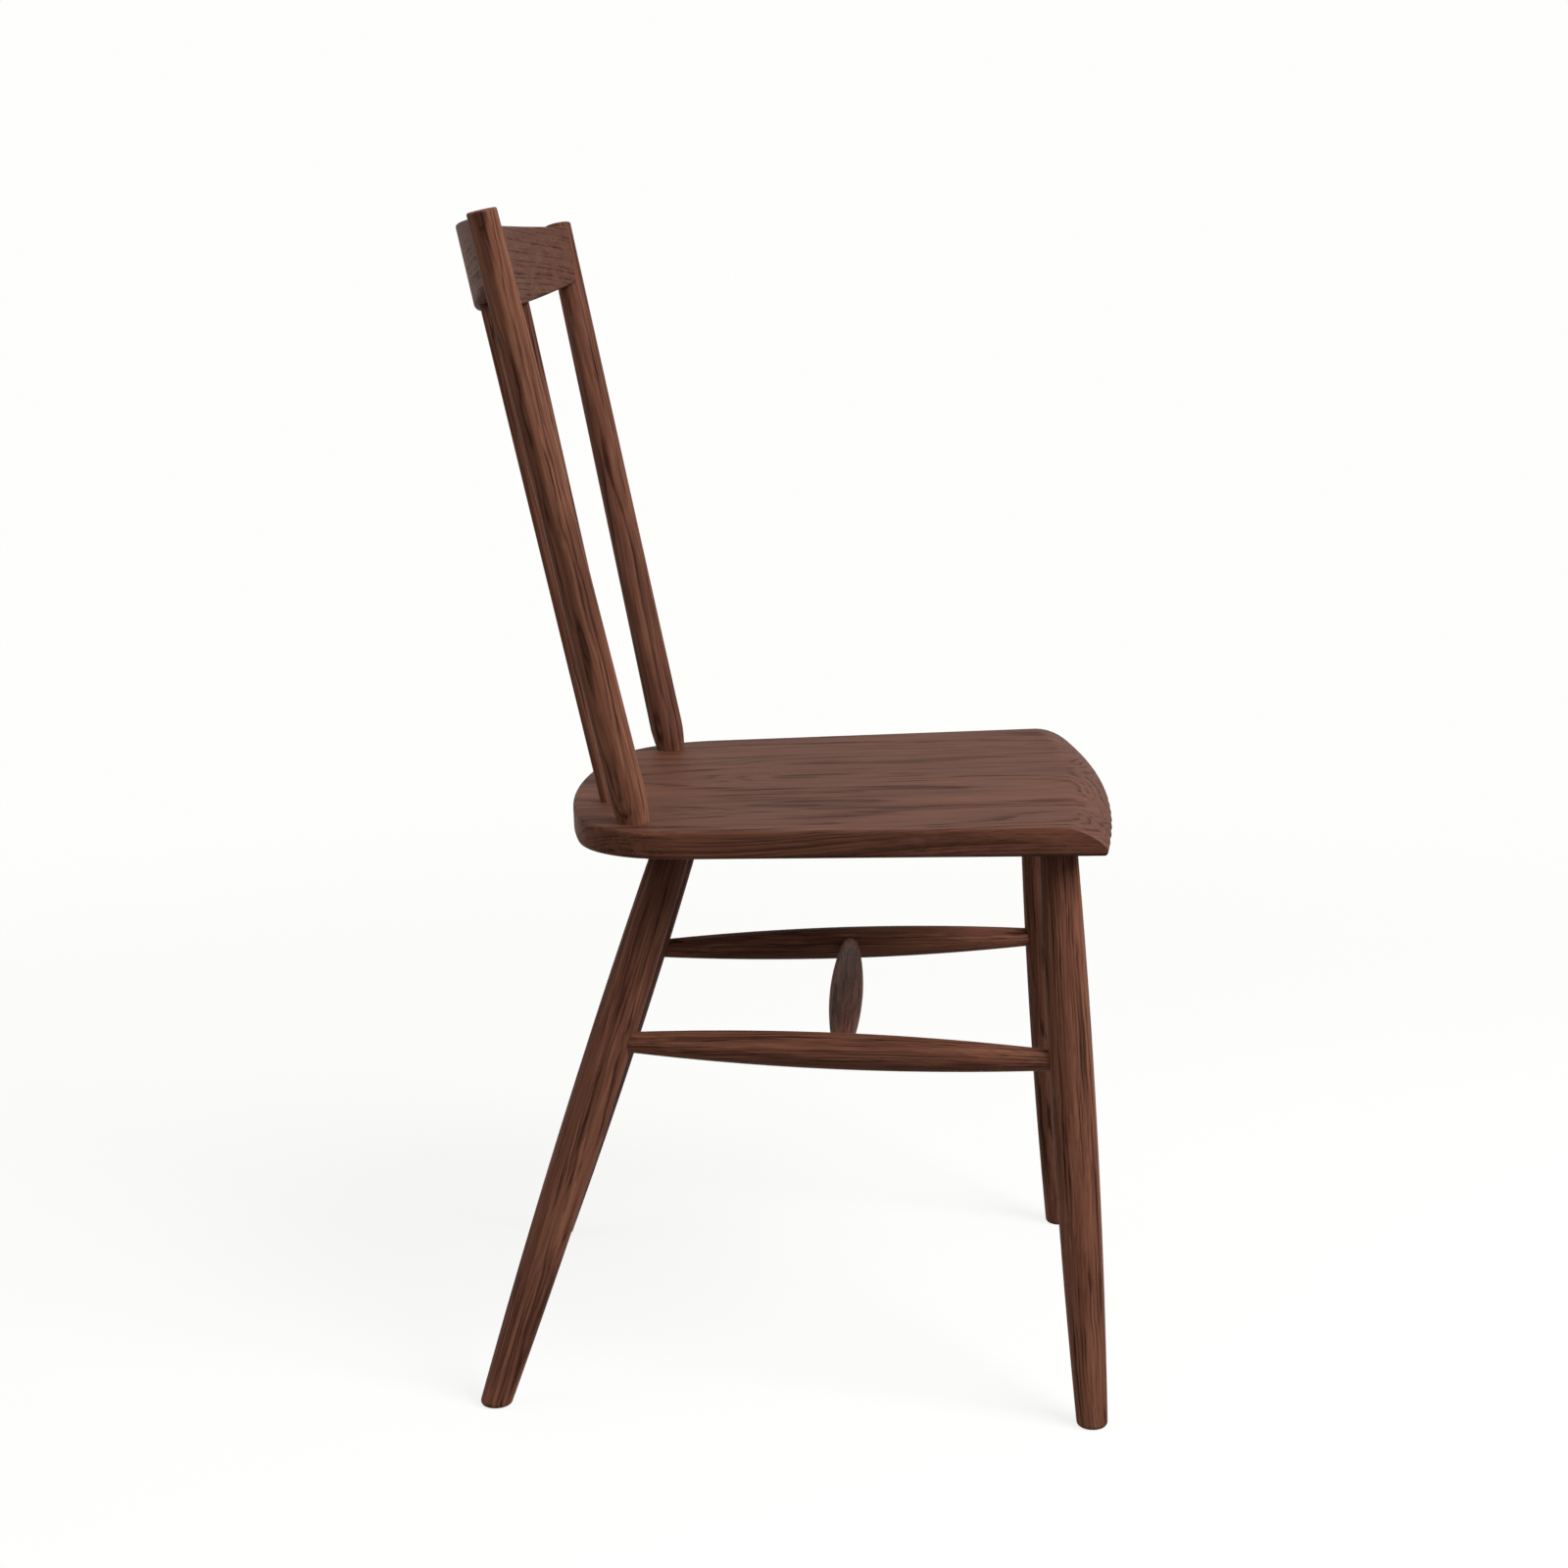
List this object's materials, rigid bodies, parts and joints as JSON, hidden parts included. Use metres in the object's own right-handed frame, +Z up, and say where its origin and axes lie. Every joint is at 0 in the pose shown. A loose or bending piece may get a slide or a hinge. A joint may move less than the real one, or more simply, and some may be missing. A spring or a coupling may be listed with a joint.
{
  "type": "windsor chair",
  "caption": "Wooden side chair: plank seat with a rolled front edge, splayed round legs tied by bellied stretchers, raked round posts, slim spindles and a bowed crest rail.",
  "frame": {"origin": "on the floor, under the centre of the chair's bounding box", "axes": "+Z up, -Y the way the sitter faces, +X to the sitter's left"},
  "size_m": [0.4816, 0.5042, 0.897],
  "materials": {
    "stained_wood": "satin dark reddish-brown stain on open-grained hardwood"
  },
  "bodies": {
    "root": {"seat": "stained_wood", "front_leg_left": "stained_wood", "front_leg_right": "stained_wood", "rear_leg_left": "stained_wood", "rear_leg_right": "stained_wood", "side_stretcher_left": "stained_wood", "side_stretcher_right": "stained_wood", "cross_stretcher": "stained_wood", "back_post_left": "stained_wood", "back_post_right": "stained_wood", "spindle_1": "stained_wood", "spindle_2": "stained_wood", "spindle_3": "stained_wood", "crest_rail": "stained_wood"}
  },
  "joints": []
}
